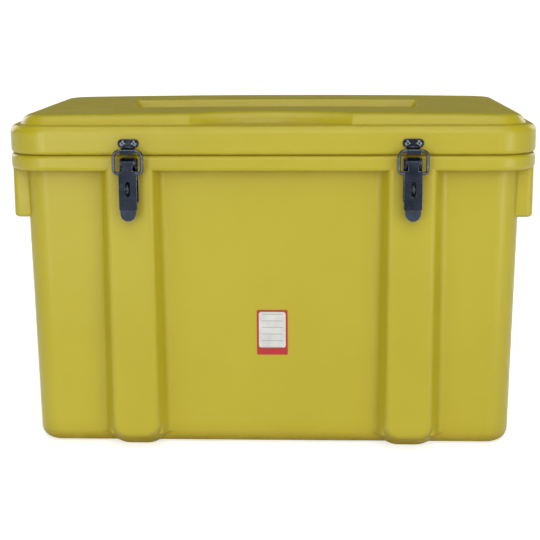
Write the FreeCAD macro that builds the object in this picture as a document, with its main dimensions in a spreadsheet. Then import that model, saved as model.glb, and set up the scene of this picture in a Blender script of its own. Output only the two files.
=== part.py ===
import FreeCAD, Part
import math
import os

import Sketcher

# A rotationally moulded tool chest: a ribbed tub, a stepped lid on two rear hinges,
# and two toggle latches that draw the lid down on a rubber seal.
# Millimetres, +Z up, front towards -Y, floor at z = 0 under the middle of the tub.

doc = FreeCAD.newDocument("ToolChest")
sheet = doc.addObject("Spreadsheet::Sheet", "Sizes")

# Every driving size of the chest, piece by piece.
SIZES = {
    # tub
    "rim_width": 800, "rim_depth": 450, "rim_corner": 64, "rim_height": 24.3,
    "rim_top_round": 6, "rim_base_round": 7, "parting_height": 458.5, "wall": 6,
    "end_setback": 22.7, "panel_setback": 22, "end_draft": 6.4, "panel_draft": 6,
    "body_corner": 38, "floor_height": 1, "base_round": 20,
    "rib_place": 211, "rib_base_width": 104.8, "rib_bevel_side": 19.6, "rib_bevel_depth": 30,
    "rib_round": 40, "rib_edge_round": 10, "cove_radius": 14, "cove_start": 11,
    "cove_sink": 0.2, "grip_length": 366, "grip_height": 75,
    "grip_setback": 3, "grip_round": 10, "lip_inset": 16.5, "lip_height": 14,
    # seal in the rim
    "seal_inset": 8, "seal_width": 5, "seal_depth": 4, "seal_gap": 0.1,
    # lid
    "skirt_height": 44, "skirt_wall": 7, "skirt_top_round": 12, "skirt_base_round": 6.5,
    "flange_width": 15, "flange_height": 7, "tier_inset": 12.5, "tier_slope": 13,
    "tier_height": 17.5, "tier_corner": 52, "tier_round": 18, "crown_drop": 3.5,
    "scoop_width": 240, "scoop_depth": 30, "recess_width": 484, "recess_depth": 160,
    "recess_deep": 14, "recess_slope": 12, "recess_corner": 9,
    # latch plate and its pivot
    "pivot_drop": 8.5, "pivot_stand": 14, "pin_radius": 2, "pin_gap": 0.05,
    "pin_head_radius": 3.2, "pin_head": 1.2, "plate_thick": 2, "plate_width": 28,
    "plate_rise": 6, "plate_drop": 63, "plate_round": 5, "ear_thick": 2.2,
    "ear_gap": 0.4, "ear_radius": 5, "ear_drop": 11, "staple_drop": 40,
    "staple_height": 15, "staple_thick": 2.5, "staple_reach": 25.2, "shackle_radius": 2.75,
    "shackle_edge": 1.6, "plate_rivet_spacing": 16, "plate_rivet_upper": 24,
    "plate_rivet_lower": 55,
    # latch lever
    "lever_width": 27, "lever_thick": 2, "lever_length": 87, "barrel_radius": 3.8,
    "barrel_width": 15.5, "shoulder_drop": 13, "lever_bend": 71, "lever_kick": 5,
    "cheek_thick": 2, "cheek_depth": 8.4, "cheek_length": 9.5, "cheek_taper": 8,
    "tip_share": 0.98, "tip_inset": 1.9, "tip_shoulder": 2, "slot_width": 7.2, "slot_top": 28.5, "slot_length": 23.2,
    # wire bail
    "wire_radius": 2.4, "wire_gap": 0.08, "bail_width": 42.2, "bail_top_round": 9,
    "bail_base_round": 6, "bail_reach": 33.5, "attach_drop": 16.9, "attach_back": 1.8,
    "bail_end": 20,
    # keeper on the lid
    "keeper_thick": 2, "keeper_width": 31.5, "keeper_height": 13, "keeper_rise": 18.5,
    "keeper_rivet_spacing": 16.5, "hook_width": 22, "neck_width": 20, "hook_gap": 0.3,
    "hook_throat": 3.8, "lip_lean": 2.6, "hook_lip": 2, "joggle_rise": 4.5,
    # hinges
    "hinge_stand": 9, "knuckle_radius": 6.5, "hinge_pin_radius": 3.5, "leaf_thick": 2.5,
    "leaf_width": 52, "middle_knuckle": 20, "knuckle_gap": 0.4, "leaf_clear": 4,
    "base_leaf_drop": 52, "lid_leaf_rise": 31, "leaf_round": 5, "leaf_rivet_spacing": 32,
    "base_rivet_drop": 36, "lid_rivet_rise": 20, "hinge_pin_head": 1.5,
    "hinge_head_radius": 5, "web_drop": 11,
    # blind rivets
    "rivet_radius": 2.4, "rivet_gap": 0.1, "rivet_head_radius": 4.8, "rivet_head": 2.4,
    "rivet_brim": 0.8, "rivet_crown_radius": 2.8, "mandrel_radius": 1.6,
    "mandrel_depth": 1.8, "tail_radius": 3.4, "tail_length": 4.5,
    # length by which a cut runs past what it cuts
    "overrun": 4,
}
for row, (alias, number) in enumerate(SIZES.items(), start=1):
    sheet.set(f"A{row}", alias)
    sheet.set(f"B{row}", str(number))
    sheet.setAlias(f"B{row}", alias)
doc.recompute()


class Size:
    """A length with the formula that binds it to the sheet and its present value."""

    def __init__(self, text, value):
        self.text = text
        self.value = value

    @staticmethod
    def of(other):
        return other if isinstance(other, Size) else Size(str(other), float(other))

    def __add__(self, other):
        other = Size.of(other)
        return Size(f"({self.text} + {other.text})", self.value + other.value)

    def __sub__(self, other):
        other = Size.of(other)
        return Size(f"({self.text} - {other.text})", self.value - other.value)

    def __mul__(self, other):
        other = Size.of(other)
        return Size(f"({self.text} * {other.text})", self.value * other.value)

    def __truediv__(self, other):
        other = Size.of(other)
        return Size(f"({self.text} / {other.text})", self.value / other.value)

    def __neg__(self):
        return Size(f"(0 - {self.text})", -self.value)


class Named:
    """Sizes by name, read from the sheet."""

    def __getattr__(self, name):
        return Size(f"Sizes.{name}", float(sheet.get(name)))


sz = Named()
ZERO = Size("0", 0.0)


def bind(obj, path, size):
    obj.setExpression(path, size.text)


def new_body(name, across=ZERO):
    body = doc.addObject("PartDesign::Body", name)
    bind(body, "Placement.Base.x", across)
    return body


def new_sketch(body, name, role, shift=ZERO):
    sketch = body.newObject("Sketcher::SketchObject", name)
    plane = [f for f in body.Origin.OriginFeatures if f.Role == role][0]
    sketch.AttachmentSupport = [(plane, "")]
    sketch.MapMode = "FlatFace"
    bind(sketch, "AttachmentOffset.Base.z", shift)
    return sketch


def pin_point(sketch, geo, pos, x, y):
    # A sketch point held at x, y: on an axis where that is zero, else at a bound distance.
    for kind, axis, size in (("DistanceX", -2, x), ("DistanceY", -1, y)):
        if size is ZERO:
            sketch.addConstraint(Sketcher.Constraint("PointOnObject", geo, pos, axis))
        else:
            index = sketch.addConstraint(Sketcher.Constraint(kind, geo, pos, size.value))
            bind(sketch, f"Constraints[{index}]", size)


def add_polygon(sketch, points):
    first = sketch.GeometryCount
    count = len(points)
    spots = [FreeCAD.Vector(x.value, y.value, 0) for x, y in points]
    for i in range(count):
        sketch.addGeometry(Part.LineSegment(spots[i], spots[(i + 1) % count]), False)
    for i in range(count):
        after = first + (i + 1) % count
        sketch.addConstraint(Sketcher.Constraint("Coincident", first + i, 2, after, 1))
    for i, (x, y) in enumerate(points):
        pin_point(sketch, first + i, 1, x, y)


def add_circle(sketch, x, y, radius):
    centre = FreeCAD.Vector(x.value, y.value, 0)
    up = FreeCAD.Vector(0, 0, 1)
    geo = sketch.addGeometry(Part.Circle(centre, up, radius.value), False)
    pin_point(sketch, geo, 3, x, y)
    index = sketch.addConstraint(Sketcher.Constraint("Radius", geo, radius.value))
    bind(sketch, f"Constraints[{index}]", radius)


def add_round_box(sketch, left, right, low, high, radius):
    # A rectangle with four equal rounded corners, drawn anticlockwise from the low side.
    first = sketch.GeometryCount
    r = radius.value
    x0, x1, y0, y1 = left.value, right.value, low.value, high.value
    spot = lambda x, y: FreeCAD.Vector(x, y, 0)
    sides = [
        (spot(x0 + r, y0), spot(x1 - r, y0)), (spot(x1, y0 + r), spot(x1, y1 - r)),
        (spot(x1 - r, y1), spot(x0 + r, y1)), (spot(x0, y1 - r), spot(x0, y0 + r)),
    ]
    corners = [
        (spot(x1 - r, y0 + r), -0.5), (spot(x1 - r, y1 - r), 0.0),
        (spot(x0 + r, y1 - r), 0.5), (spot(x0 + r, y0 + r), 1.0),
    ]
    for (a, b), (centre, turn) in zip(sides, corners):
        sketch.addGeometry(Part.LineSegment(a, b), False)
        ring = Part.Circle(centre, spot(0, 0) + FreeCAD.Vector(0, 0, 1), r)
        begin = turn * math.pi
        sketch.addGeometry(Part.ArcOfCircle(ring, begin, begin + math.pi / 2), False)
    for i in range(4):
        line, arc, after = first + 2 * i, first + 2 * i + 1, first + (2 * i + 2) % 8
        sketch.addConstraint(Sketcher.Constraint("Tangent", line, 2, arc, 1))
        sketch.addConstraint(Sketcher.Constraint("Tangent", arc, 2, after, 1))
        lie = "Horizontal" if i % 2 == 0 else "Vertical"
        sketch.addConstraint(Sketcher.Constraint(lie, line))
    for i in range(1, 4):
        sketch.addConstraint(Sketcher.Constraint("Equal", first + 1, first + 2 * i + 1))
    index = sketch.addConstraint(Sketcher.Constraint("Radius", first + 1, r))
    bind(sketch, f"Constraints[{index}]", radius)
    places = (("DistanceY", 0, low), ("DistanceX", 2, right),
              ("DistanceY", 4, high), ("DistanceX", 6, left))
    for kind, step, size in places:
        index = sketch.addConstraint(Sketcher.Constraint(kind, first + step, 1, size.value))
        bind(sketch, f"Constraints[{index}]", size)


def middle_box(sketch, width, depth, radius):
    add_round_box(sketch, -width / 2, width / 2, -depth / 2, depth / 2, radius)


def add_pad(body, name, sketch, length, both=False):
    pad = body.newObject("PartDesign::Pad", name)
    pad.Profile = sketch
    pad.SideType = "Symmetric" if both else "One side"
    bind(pad, "Length", length)
    return pad


def add_pocket(body, name, sketch, length):
    # A cut that reaches the same distance to both sides of its sketch.
    pocket = body.newObject("PartDesign::Pocket", name)
    pocket.Profile = sketch
    pocket.SideType = "Symmetric"
    bind(pocket, "Length", length)
    return pocket


def add_loft(body, name, sections):
    loft = body.newObject("PartDesign::AdditiveLoft", name)
    loft.Profile = sections[0]
    loft.Sections = sections[1:]
    loft.Ruled = True
    return loft


def edges_where(feature, test):
    doc.recompute()
    names = []
    for number, edge in enumerate(feature.Shape.Edges, start=1):
        box = edge.BoundBox
        if test(edge, box):
            names.append(f"Edge{number}")
    return names


def add_fillet(body, name, base, radius, test):
    names = edges_where(base, test)
    fillet = body.newObject("PartDesign::Fillet", name)
    fillet.Base = (base, names)
    bind(fillet, "Radius", radius)
    return fillet


def near(a, b):
    return abs(a - b) < 1e-4 * sz.rim_width.value


def flat_at(height):
    # Edges that lie wholly in the level plane at this height.
    level = height.value
    return lambda edge, box: near(box.ZMin, level) and near(box.ZMax, level)


def upright(edge, box):
    return box.ZLength > box.XLength + box.YLength


def add_crown(body, name, top, drop):
    # A shallow arch across the width, highest at the middle, cut over the whole depth.
    half = sz.rim_width / 2
    radius = (half * half + drop * drop) / (drop * 2)
    low, high = top - drop, top + sz.overrun
    arch = new_sketch(body, name + "_arch", "XZ_Plane")
    corners = [(-half, low), (-half, high), (half, high), (half, low)]
    spots = [FreeCAD.Vector(x.value, y.value, 0) for x, y in corners]
    for begin, finish in zip(spots, spots[1:]):
        arch.addGeometry(Part.LineSegment(begin, finish), False)
    peak = FreeCAD.Vector(0, top.value, 0)
    arch.addGeometry(Part.Arc(spots[3], peak, spots[0]), False)
    for joint in ((0, 2, 1, 1), (1, 2, 2, 1), (2, 2, 3, 1), (3, 2, 0, 1)):
        arch.addConstraint(Sketcher.Constraint("Coincident", *joint))
    for line, (x, y) in enumerate(corners):
        pin_point(arch, line, 1, x, y)
    index = arch.addConstraint(Sketcher.Constraint("Radius", 3, radius.value))
    bind(arch, f"Constraints[{index}]", radius)
    return add_pocket(body, name + "_crown", arch, sz.rim_depth * 2)


def add_wedge(body, name, foot, head):
    # A block between two levels, each with its own width and depth.
    block = body.newObject("PartDesign::AdditiveWedge", name)
    plane = [f for f in body.Origin.OriginFeatures if f.Role == "XZ_Plane"][0]
    block.AttachmentSupport = [(plane, "")]
    block.MapMode = "FlatFace"
    for end, tag, (level, (width, depth)) in (("min", "", foot), ("max", "2", head)):
        bind(block, "Y" + end, level)
        bind(block, f"X{tag}min", -width / 2)
        bind(block, f"X{tag}max", width / 2)
        bind(block, f"Z{tag}min", -depth / 2)
        bind(block, f"Z{tag}max", depth / 2)
    return block


def sloped_block(name, foot, head, corner, edge_test, edge_round, shape_top=None):
    # A block with sloping sides between two levels, its upright corners rounded first, its
    # top perhaps shaped further, and then rounded all round its foot or its top.
    body = new_body(name)
    block = add_wedge(body, name + "_block", foot, head)
    tall = 0.9 * abs(head[0].value - foot[0].value)
    rising = lambda edge, box: box.ZLength > tall
    shaped = add_fillet(body, name + "_corners", block, corner, rising)
    if shape_top:
        shaped = shape_top(body)
    add_fillet(body, name + "_round", shaped, edge_round, edge_test)
    return body


def fuse(name, shapes):
    joined = doc.addObject("Part::MultiFuse", name)
    joined.Shapes = shapes
    joined.Refine = True
    return joined


def cut(name, base, tool):
    result = doc.addObject("Part::Cut", name)
    result.Base = base
    result.Tool = tool
    result.Refine = True
    return result


parts = {}

# Planes that the pieces share.
front = -sz.rim_depth / 2
rear = sz.rim_depth / 2
parting = sz.parting_height
rim_base = parting - sz.rim_height
shoulder = rim_base + sz.wall
pivot = parting - sz.pivot_drop
floor_top = sz.floor_height + sz.wall
hole_radius = sz.rivet_radius + sz.rivet_gap


# The tub's drafted body, outside and inside, with a rounded foot to its walls.
def tapered_box(name, low, high, inset):
    width = sz.rim_width - (sz.end_setback + inset) * 2
    depth = sz.rim_depth - (sz.panel_setback + inset) * 2
    foot_size = (width - sz.end_draft * 2, depth - sz.panel_draft * 2)
    return sloped_block(name, (low, foot_size), (high, (width, depth)),
                        sz.body_corner - inset, flat_at(low), sz.base_round - inset)


tub_skin = tapered_box("TubSkin", sz.floor_height, shoulder, ZERO)
tub_room = tapered_box("TubRoom", floor_top, shoulder + sz.overrun, sz.wall)

# The rim band that carries the lid, rounded along both edges, and the lip that stands
# inside the lid's flange.
rim = new_body("Rim")
rim_plan = new_sketch(rim, "rim_plan", "XY_Plane", rim_base)
middle_box(rim_plan, sz.rim_width, sz.rim_depth, sz.rim_corner)
rim_pad = add_pad(rim, "rim_pad", rim_plan, sz.rim_height)
rim_top = add_fillet(rim, "rim_top", rim_pad, sz.rim_top_round, flat_at(parting))
add_fillet(rim, "rim_under", rim_top, sz.rim_base_round, flat_at(rim_base))

lip = new_body("Lip")
lip_plan = new_sketch(lip, "lip_plan", "XY_Plane", shoulder)
lip_corner = sz.rim_corner - sz.lip_inset
middle_box(lip_plan, sz.rim_width - sz.lip_inset * 2, sz.rim_depth - sz.lip_inset * 2,
           lip_corner)
add_pad(lip, "lip_pad", lip_plan, parting + sz.lip_height - shoulder)

mouth = new_body("Mouth")
mouth_plan = new_sketch(mouth, "mouth_plan", "XY_Plane", shoulder)
mouth_inset = sz.lip_inset + sz.wall
middle_box(mouth_plan, sz.rim_width - mouth_inset * 2, sz.rim_depth - mouth_inset * 2,
           lip_corner - sz.wall)
add_pad(mouth, "mouth_pad", mouth_plan, parting + sz.lip_height + sz.overrun - shoulder)

# A rib runs down the front, under the floor as a runner and up the back. Its sides
# slope, and its lower corners are round.
def rib(name, inset, across):
    body = new_body(name, across)
    face = new_sketch(body, name + "_face", "XZ_Plane")
    half = sz.rib_base_width / 2 - inset
    top = rim_base + sz.rim_height / 2 - inset * 2
    add_polygon(face, [(-half, inset), (half, inset), (half, top), (-half, top)])
    depth = sz.rim_depth - inset * 2
    block = add_pad(body, name + "_pad", face, depth, both=True)
    corner = lambda edge, box: (box.YLength > box.XLength + box.ZLength
                                and near(box.ZMin, inset.value))
    round_foot = add_fillet(body, name + "_round", block, sz.rib_round - inset, corner)
    reach = depth.value / 2
    outline = lambda edge, box: (box.YLength < 1e-3 * reach and near(abs(box.YMin), reach)
                                 and box.ZMin < top.value - reach * 1e-3)
    names = edges_where(round_foot, outline)
    bevel = body.newObject("PartDesign::Chamfer", name + "_bevel")
    bevel.Base = (round_foot, names)
    bevel.ChamferType = "Two distances"
    bind(bevel, "Size", sz.rib_bevel_depth)
    bind(bevel, "Size2", sz.rib_bevel_side)
    add_fillet(body, name + "_soft", bevel, sz.rib_edge_round, outline)
    return body


# The hollow round where a rib's sloping side runs out into the panel, front and back.
def cove(name, across):
    body = new_body(name, across)
    low = sz.floor_height + sz.base_round
    high = rim_base + sz.rim_height / 2
    half_face = sz.rib_base_width / 2 - sz.rib_bevel_side
    half_start = half_face + sz.rib_bevel_side * sz.cove_start / sz.rib_bevel_depth
    half_base = sz.rib_base_width / 2
    near_y, deep_y = front + sz.cove_start, front + sz.rib_bevel_depth
    plan = new_sketch(body, name + "_plan", "XY_Plane", low)
    add_polygon(plan, [
        (-half_start, near_y), (half_start, near_y), (half_base, deep_y), (half_base, -deep_y),
        (half_start, -near_y), (-half_start, -near_y), (-half_base, -deep_y),
        (-half_base, deep_y),
    ])
    add_pad(body, name + "_pad", plan, high - low)
    wide = sz.rib_base_width + sz.cove_radius * 4
    top_depth = sz.rim_depth - (sz.panel_setback + sz.cove_sink) * 2
    lean = sz.panel_draft * 2 / (shoulder - sz.floor_height)
    sizes = [(level, (wide, top_depth - lean * (shoulder - level))) for level in (low, high)]
    panel = add_wedge(body, name + "_panel", *sizes)
    tall = 0.9 * (high - low).value
    inner = lambda edge, box: (box.ZLength > tall and abs(edge.CenterOfMass.x) < half_base.value
                               and abs(edge.CenterOfMass.y) < -near_y.value * 0.99)
    add_fillet(body, name + "_round", panel, sz.cove_radius, inner)
    return body


ribs = [rib("LeftRib", ZERO, -sz.rib_place), rib("RightRib", ZERO, sz.rib_place)]
coves = [cove("LeftCove", -sz.rib_place), cove("RightCove", sz.rib_place)]
channels = [rib("LeftChannel", sz.wall, -sz.rib_place),
            rib("RightChannel", sz.wall, sz.rib_place)]


# The grip ledges that stand out under the rim at both ends.
def grip(name, inset):
    body = new_body(name)
    plan = new_sketch(body, name + "_plan", "XY_Plane", rim_base - sz.grip_height + inset)
    width = sz.rim_width - (sz.grip_setback + inset) * 2
    middle_box(plan, width, sz.grip_length - inset * 2, sz.grip_round)
    ledge = add_pad(body, name + "_pad", plan, sz.grip_height + sz.rim_height / 2 - inset * 2)
    low = rim_base - sz.grip_height + inset
    add_fillet(body, name + "_round", ledge, sz.grip_round / 2, flat_at(low))
    return body


grips = grip("Grips", ZERO)
grip_room = grip("GripRoom", sz.wall)


# A ring round the rim, from one inset to another, for the seal and for its groove.
def rim_ring(name, inset, width, low, tall):
    body = new_body(name)
    plan = new_sketch(body, name + "_plan", "XY_Plane", low)
    for step in (inset, inset + width):
        middle_box(plan, sz.rim_width - step * 2, sz.rim_depth - step * 2,
                   sz.rim_corner - step)
    add_pad(body, name + "_pad", plan, tall)
    return body


groove = rim_ring("SealGroove", sz.seal_inset, sz.seal_width, parting - sz.seal_depth,
                  sz.seal_depth + sz.overrun / 2)
parts["rim_seal"] = rim_ring("Seal", sz.seal_inset + sz.seal_gap,
                             sz.seal_width - sz.seal_gap * 2, parting - sz.seal_depth,
                             sz.seal_depth)


# A blind rivet with a crowned head, its mandrel hole, and the tail set behind the wall.
def rivet(name, x, y, z, grip_length, faces_front):
    body = new_body(name, x)
    bind(body, "Placement.Base.y", y)
    bind(body, "Placement.Base.z", z)
    turn = 90 if faces_front else -90
    body.Placement.Rotation = FreeCAD.Rotation(FreeCAD.Vector(1, 0, 0), turn)
    half = new_sketch(body, name + "_half", "XZ_Plane")
    end = -(grip_length + sz.tail_length)
    hollow_z = sz.rivet_head - sz.mandrel_depth
    add_polygon(half, [
        (ZERO, hollow_z), (sz.mandrel_radius, hollow_z),
        (sz.mandrel_radius, sz.rivet_head), (sz.rivet_crown_radius, sz.rivet_head),
        (sz.rivet_head_radius, sz.rivet_brim), (sz.rivet_head_radius, ZERO),
        (sz.rivet_radius, ZERO), (sz.rivet_radius, -grip_length),
        (sz.tail_radius, -grip_length), (sz.rivet_radius, end), (ZERO, end),
    ])
    turned = body.newObject("PartDesign::Revolution", name + "_turned")
    turned.Profile = half
    turned.ReferenceAxis = (half, ["V_Axis"])
    return body


def drill(name, x, z, faces_front, wall):
    # The hole that a rivet passes through, from outside the wall to inside it.
    hole = doc.addObject("Part::Cylinder", name)
    bind(hole, "Radius", hole_radius)
    bind(hole, "Height", wall + sz.overrun * 2)
    turn = -90 if faces_front else 90
    hole.Placement.Rotation = FreeCAD.Rotation(FreeCAD.Vector(1, 0, 0), turn)
    bind(hole, "Placement.Base.x", x)
    bind(hole, "Placement.Base.y", front - sz.overrun if faces_front else rear + sz.overrun)
    bind(hole, "Placement.Base.z", z)
    return hole


def rivet_set(label, spots, face, faces_front, plate, wall):
    # One row of rivets through a plate and a moulded wall, with the holes they need.
    seat = face - plate if faces_front else face + plate
    rivets, holes = [], []
    for count, (x, z) in enumerate(spots, start=1):
        name = f"{label}_{count}"
        rivets.append(rivet(name, x, seat, z, plate + wall, faces_front))
        holes.append(drill(name + "_hole", x, z, faces_front, wall))
    group = doc.addObject("Part::Compound", label)
    group.Links = rivets
    parts[label] = group
    return holes


tub_holes, lid_holes = [], []

# The two toggle latches, each built about its own middle plane.
for side, across in (("left", -sz.rib_place), ("right", sz.rib_place)):
    out = lambda reach: front - reach
    pivot_y = out(sz.pivot_stand)
    attach_y = out(sz.pivot_stand - sz.attach_back)
    attach_z = pivot - sz.attach_drop

    # Riveted plate with two ears for the pin and a staple for a padlock.
    plate = new_body(side + "_plate", across)
    half_ears = sz.barrel_width / 2 + sz.ear_gap
    ears = new_sketch(plate, side + "_ears", "YZ_Plane")
    add_polygon(ears, [
        (front, pivot + sz.plate_rise), (front, pivot - sz.ear_drop),
        (out(sz.plate_thick * 2), pivot - sz.ear_drop),
        (pivot_y - sz.ear_radius, pivot - sz.ear_radius),
        (pivot_y - sz.ear_radius, pivot + sz.ear_radius),
        (out(sz.plate_thick), pivot + sz.plate_rise),
    ])
    ear_pad = add_pad(plate, side + "_ear_pad", ears, (half_ears + sz.ear_thick) * 2, both=True)
    tip = lambda edge, box: (box.XLength > box.YLength + box.ZLength
                             and near(box.YMin, (pivot_y - sz.ear_radius).value))
    ear_round = add_fillet(plate, side + "_ear_round", ear_pad, sz.ear_radius - sz.pin_gap, tip)
    gap = new_sketch(plate, side + "_ear_gap", "YZ_Plane")
    add_polygon(gap, [
        (out(sz.plate_thick), pivot + sz.plate_rise + sz.overrun),
        (out(sz.plate_thick), pivot - sz.ear_drop - sz.overrun),
        (out(sz.pivot_stand * 2), pivot - sz.ear_drop - sz.overrun),
        (out(sz.pivot_stand * 2), pivot + sz.plate_rise + sz.overrun),
    ])
    add_pocket(plate, side + "_ear_cut", gap, half_ears * 2)
    bore = new_sketch(plate, side + "_ear_bore", "YZ_Plane")
    add_circle(bore, pivot_y, pivot, sz.pin_radius + sz.pin_gap)
    add_pocket(plate, side + "_ear_drill", bore, sz.lever_width * 2)
    tab = new_sketch(plate, side + "_staple", "YZ_Plane")
    staple_z = pivot - sz.staple_drop
    half_tab = sz.staple_height / 2
    tab_end = out(sz.staple_reach)
    add_polygon(tab, [
        (front, staple_z + half_tab), (front, staple_z - half_tab),
        (tab_end + half_tab / 2, staple_z - half_tab), (tab_end, staple_z - half_tab / 2),
        (tab_end, staple_z + half_tab / 2), (tab_end + half_tab / 2, staple_z + half_tab),
    ])
    eye_y = tab_end + sz.shackle_edge + sz.shackle_radius
    add_circle(tab, eye_y, staple_z, sz.shackle_radius)
    base = new_sketch(plate, side + "_base", "XZ_Plane", sz.rim_depth / 2)
    half_plate = sz.plate_width / 2
    add_round_box(base, -half_plate, half_plate, pivot - sz.plate_drop, pivot + sz.plate_rise,
                  sz.plate_round)
    rivet_half = sz.plate_rivet_spacing / 2
    upper = pivot - sz.plate_rivet_upper
    lower = pivot - sz.plate_rivet_lower
    spots = [(-rivet_half, upper), (rivet_half, upper), (ZERO, lower)]
    for x, z in spots:
        add_circle(base, x, z, hole_radius)
    add_pad(plate, side + "_base_pad", base, sz.plate_thick)
    add_pad(plate, side + "_staple_pad", tab, sz.staple_thick, both=True)
    parts[side + "_latch_plate"] = plate
    tub_holes += rivet_set(side + "_plate_rivets", [(across + x, z) for x, z in spots], front,
                           True, sz.plate_thick, sz.wall)

    # Headed pin through the ears.
    pin = new_body(side + "_pin", across)
    bind(pin, "Placement.Base.y", pivot_y)
    bind(pin, "Placement.Base.z", pivot)
    shank = new_sketch(pin, side + "_pin_half", "XZ_Plane")
    grip_half = half_ears + sz.ear_thick + sz.pin_gap
    head_end = grip_half + sz.pin_head
    add_polygon(shank, [
        (-head_end, ZERO), (head_end, ZERO), (head_end, sz.pin_head_radius),
        (grip_half, sz.pin_head_radius), (grip_half, sz.pin_radius), (-grip_half, sz.pin_radius),
        (-grip_half, sz.pin_head_radius), (-head_end, sz.pin_head_radius),
    ])
    turned = pin.newObject("PartDesign::Revolution", side + "_pin_turned")
    turned.Profile = shank
    turned.ReferenceAxis = (shank, ["H_Axis"])
    parts[side + "_latch_pin"] = pin

    # Pressed lever: two cheeks that take the wire, a barrel round the pin, a bent tip and
    # a slot over the staple.
    lever = new_body(side + "_lever", across)
    face_y = out(sz.pivot_stand + sz.barrel_radius)
    cheek_back = out(sz.cheek_depth)
    cheek_top = pivot - sz.shoulder_drop
    cheeks = new_sketch(lever, side + "_cheeks", "YZ_Plane")
    cheek_outline = [
        (face_y, cheek_top), (cheek_back, cheek_top), (cheek_back, cheek_top - sz.cheek_length),
        (face_y, cheek_top - sz.cheek_length - sz.cheek_taper),
    ]
    add_polygon(cheeks, cheek_outline)
    cheek_pad = add_pad(lever, side + "_cheek_pad", cheeks, sz.lever_width, both=True)
    between = new_sketch(lever, side + "_between", "YZ_Plane")
    add_polygon(between, [
        (face_y + sz.lever_thick, cheek_top + sz.overrun),
        (cheek_back + sz.overrun, cheek_top + sz.overrun),
        (cheek_back + sz.overrun, cheek_top - sz.cheek_length - sz.cheek_taper - sz.overrun),
        (face_y + sz.lever_thick, cheek_top - sz.cheek_length - sz.cheek_taper - sz.overrun),
    ])
    add_pocket(lever, side + "_between_cut", between, sz.lever_width - sz.cheek_thick * 2)
    eyes = new_sketch(lever, side + "_wire_eyes", "YZ_Plane")
    add_circle(eyes, attach_y, attach_z, sz.wire_radius + sz.wire_gap)
    add_pocket(lever, side + "_eye_drill", eyes, sz.lever_width * 2)
    strip = new_sketch(lever, side + "_strip", "YZ_Plane")
    bend = pivot - sz.lever_bend
    tip_z = pivot - sz.lever_length
    add_polygon(strip, [
        (face_y, pivot), (face_y, bend), (face_y - sz.lever_kick, tip_z),
        (face_y - sz.lever_kick + sz.lever_thick, tip_z), (face_y + sz.lever_thick, bend),
        (face_y + sz.lever_thick, pivot),
    ])
    add_pad(lever, side + "_strip_pad", strip, sz.lever_width, both=True)
    curl = new_sketch(lever, side + "_curl", "YZ_Plane")
    add_circle(curl, pivot_y, pivot, sz.barrel_radius)
    add_pad(lever, side + "_barrel", curl, sz.barrel_width, both=True)
    bore = new_sketch(lever, side + "_barrel_bore", "YZ_Plane")
    add_circle(bore, pivot_y, pivot, sz.pin_radius + sz.pin_gap)
    add_pocket(lever, side + "_barrel_drill", bore, sz.lever_width * 2)
    trim = new_sketch(lever, side + "_trim", "XZ_Plane", sz.rim_depth / 2 + sz.pivot_stand)
    half_lever = sz.lever_width / 2
    half_barrel = sz.barrel_width / 2
    for sign in (-1, 1):
        add_polygon(trim, [
            (half_barrel * sign, cheek_top), (half_lever * sign + sz.overrun * sign, cheek_top),
            (half_lever * sign + sz.overrun * sign, pivot + sz.barrel_radius + sz.overrun),
            (half_barrel * sign, pivot + sz.barrel_radius + sz.overrun),
        ])
    half_slot = sz.slot_width / 2
    slot_low = pivot - sz.slot_top - sz.slot_length
    add_round_box(trim, -half_slot, half_slot, slot_low, pivot - sz.slot_top, sz.slot_width / 3)
    add_pocket(lever, side + "_trim_cut", trim, sz.pivot_stand * 3)
    outline = new_body(side + "_lever_outline", across)
    shape_plan = new_sketch(outline, side + "_lever_front", "XZ_Plane", sz.rim_depth / 2)
    add_round_box(shape_plan, -half_lever, half_lever, bend, pivot + sz.lever_width,
                  sz.tip_shoulder)
    add_pad(outline, side + "_lever_depth", shape_plan, sz.pivot_stand * 4, both=True)
    tip_plan = new_sketch(outline, side + "_lever_tip", "XZ_Plane", sz.rim_depth / 2)
    half_tip = half_lever - sz.tip_inset
    add_round_box(tip_plan, -half_tip, half_tip, tip_z, pivot, half_tip * sz.tip_share)
    add_pad(outline, side + "_tip_depth", tip_plan, sz.pivot_stand * 4, both=True)
    shaped = doc.addObject("Part::Common", side + "_lever_shaped")
    shaped.Base = lever
    shaped.Tool = outline
    parts[side + "_latch_lever"] = shaped

    # Wire bail: a rounded loop whose ends turn in through the lever's cheeks.
    bail = new_body(side + "_bail", across)
    loop = new_sketch(bail, side + "_loop", "XZ_Plane", -attach_y)
    leg, low, high = sz.bail_width / 2, attach_z, attach_z + sz.bail_reach
    low_r, top_r, end = sz.bail_base_round, sz.bail_top_round, sz.bail_end / 2
    spot = lambda x, y: FreeCAD.Vector(x, y, 0)
    X, L, H, E = leg.value, low.value, high.value, end.value
    a, b = low_r.value, top_r.value
    runs = [
        (spot(-E, L), spot(a - X, L)), (spot(-X, L + a), spot(-X, H - b)),
        (spot(b - X, H), spot(X - b, H)), (spot(X, H - b), spot(X, L + a)),
        (spot(X - a, L), spot(E, L)),
    ]
    bends = [
        (spot(a - X, L + a), a, 1.0, 1.5), (spot(b - X, H - b), b, 0.5, 1.0),
        (spot(X - b, H - b), b, 0.0, 0.5), (spot(X - a, L + a), a, 1.5, 2.0),
    ]
    for begin, finish in runs:
        loop.addGeometry(Part.LineSegment(begin, finish), False)
    for centre, radius, begin, finish in bends:
        ring = Part.Circle(centre, FreeCAD.Vector(0, 0, 1), radius)
        loop.addGeometry(Part.ArcOfCircle(ring, begin * math.pi, finish * math.pi), False)
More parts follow.
